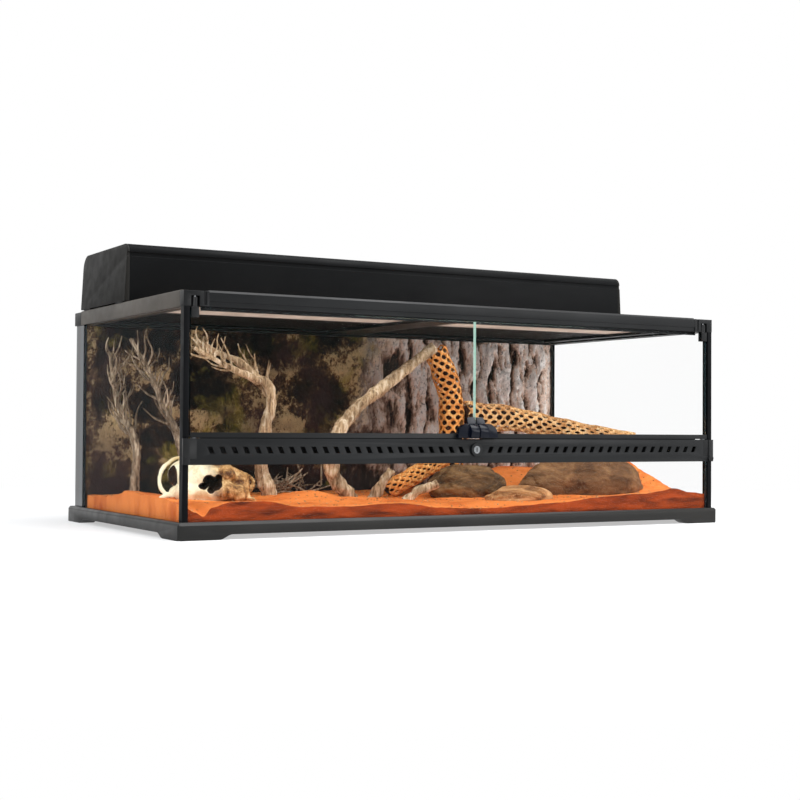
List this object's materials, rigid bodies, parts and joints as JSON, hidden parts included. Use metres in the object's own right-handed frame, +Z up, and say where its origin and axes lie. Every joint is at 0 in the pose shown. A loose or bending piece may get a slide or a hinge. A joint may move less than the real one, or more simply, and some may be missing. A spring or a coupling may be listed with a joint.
{
  "type": "reptile terrarium",
  "caption": "Low front-opening glass terrarium with hinged doors, a vent strip, a screen lid, a lighting hood and desert furnishings.",
  "frame": {"origin": "on the ground under the middle of the tank", "axes": "+X to the right along the doors, +Y to the back, +Z up"},
  "size_m": [0.926, 0.483, 0.416],
  "materials": {
    "base_plastic": "satin moulded plastic",
    "frame_plastic": "satin moulded plastic",
    "trim_plastic": "satin black plastic",
    "tank_glass": "clear float glass",
    "door_glass": "clear float glass, polished edges",
    "sealant": "silicone",
    "mesh_steel": "woven wire",
    "lock_steel": "brushed",
    "pin_steel": "bright",
    "handle_plastic": "glossy blue-black",
    "hood_plastic": "satin black",
    "pad_rubber": "matt",
    "reflector_sheet": "satin",
    "bracket_steel": "zinc plated",
    "holder_ceramic": "white glaze",
    "bulb_glass": "frosted",
    "sand": "loose orange sand",
    "foam_rock": "painted foam rock",
    "bone": "cast resin",
    "pale_wood": "bare driftwood",
    "grey_wood": "bare driftwood",
    "cholla": "bare cactus wood",
    "rock": "natural"
  },
  "bodies": {
    "tank": {"base_frame": "base_plastic", "floor_glass": "tank_glass", "left_glass": "tank_glass", "right_glass": "tank_glass", "back_glass": "tank_glass", "lower_front_glass": "tank_glass", "front_posts": "frame_plastic", "corner_seams": "sealant", "front_rail": "frame_plastic", "rear_rail": "frame_plastic", "left_rail": "frame_plastic", "right_rail": "frame_plastic", "front_corner_blocks": "frame_plastic", "rear_corner_blocks": "frame_plastic", "vent_strip": "frame_plastic", "vent_mesh": "mesh_steel", "strip_ends": "trim_plastic", "lock_housing": "trim_plastic", "sand_bed": "sand", "rock_background": "foam_rock", "skull": "bone", "driftwood": "pale_wood", "side_branches": "grey_wood", "cholla_wood": "cholla", "rocks": "rock"},
    "left_door": {"left_door_glass": "door_glass", "left_door_rail": "frame_plastic", "left_hinge_clip": "trim_plastic", "left_hinge_pins": "pin_steel", "left_handle": "handle_plastic", "left_catch": "trim_plastic"},
    "right_door": {"right_door_glass": "door_glass", "right_door_rail": "frame_plastic", "right_hinge_clip": "trim_plastic", "right_hinge_pins": "pin_steel", "right_handle": "handle_plastic", "right_catch": "trim_plastic"},
    "lock": {"lock_plug": "lock_steel", "lock_cam": "lock_steel"},
    "screen_lid": {"screen_frame": "frame_plastic", "left_screen_mesh": "mesh_steel", "right_screen_mesh": "mesh_steel"},
    "left_lid_lock": {"left_lid_lock": "trim_plastic"},
    "right_lid_lock": {"right_lid_lock": "trim_plastic"},
    "left_inlet_cover": {"left_inlet_cover": "trim_plastic"},
    "right_inlet_cover": {"right_inlet_cover": "trim_plastic"},
    "hood": {"hood_shell": "hood_plastic", "left_hood_cap": "hood_plastic", "right_hood_cap": "hood_plastic", "hood_pads": "pad_rubber", "reflector": "reflector_sheet", "lamp_brackets": "bracket_steel", "lamp_holders": "holder_ceramic", "bulbs": "bulb_glass", "cable_gland": "trim_plastic", "switch_bezel": "trim_plastic"},
    "switch": {"switch_rocker": "handle_plastic"}
  },
  "joints": [
    {"name": "left_door_hinge", "type": "hinge", "parent": "tank", "child": "left_door", "pos_m": [-0.4395, -0.2287, 0.2], "axis": [0, 0, -1], "range_deg": [0, 110]},
    {"name": "right_door_hinge", "type": "hinge", "parent": "tank", "child": "right_door", "pos_m": [0.4395, -0.2287, 0.2], "axis": [0, 0, 1], "range_deg": [0, 110]},
    {"name": "lock_turn", "type": "hinge", "parent": "tank", "child": "lock", "pos_m": [0, -0.234, 0.1185], "axis": [0, -1, 0], "range_deg": [0, 90]},
    {"name": "lid_lift", "type": "slide", "parent": "tank", "child": "screen_lid", "axis": [0, 0, 1], "range_m": [0, 0.12]},
    {"name": "hood_lift", "type": "slide", "parent": "screen_lid", "child": "hood", "axis": [0, 0, 1], "range_m": [0, 0.15]},
    {"name": "left_lid_lock_slide", "type": "slide", "parent": "tank", "child": "left_lid_lock", "axis": [0, -1, 0], "range_m": [0, 0.008]},
    {"name": "right_lid_lock_slide", "type": "slide", "parent": "tank", "child": "right_lid_lock", "axis": [0, -1, 0], "range_m": [0, 0.008]},
    {"name": "left_inlet_slide", "type": "slide", "parent": "tank", "child": "left_inlet_cover", "axis": [1, 0, 0], "range_m": [0, 0.034]},
    {"name": "right_inlet_slide", "type": "slide", "parent": "tank", "child": "right_inlet_cover", "axis": [-1, 0, 0], "range_m": [0, 0.034]},
    {"name": "switch_rock", "type": "hinge", "parent": "hood", "child": "switch", "pos_m": [-0.266, 0.2042, 0.3575], "axis": [0, 0, 1], "range_deg": [0, 16]}
  ]
}
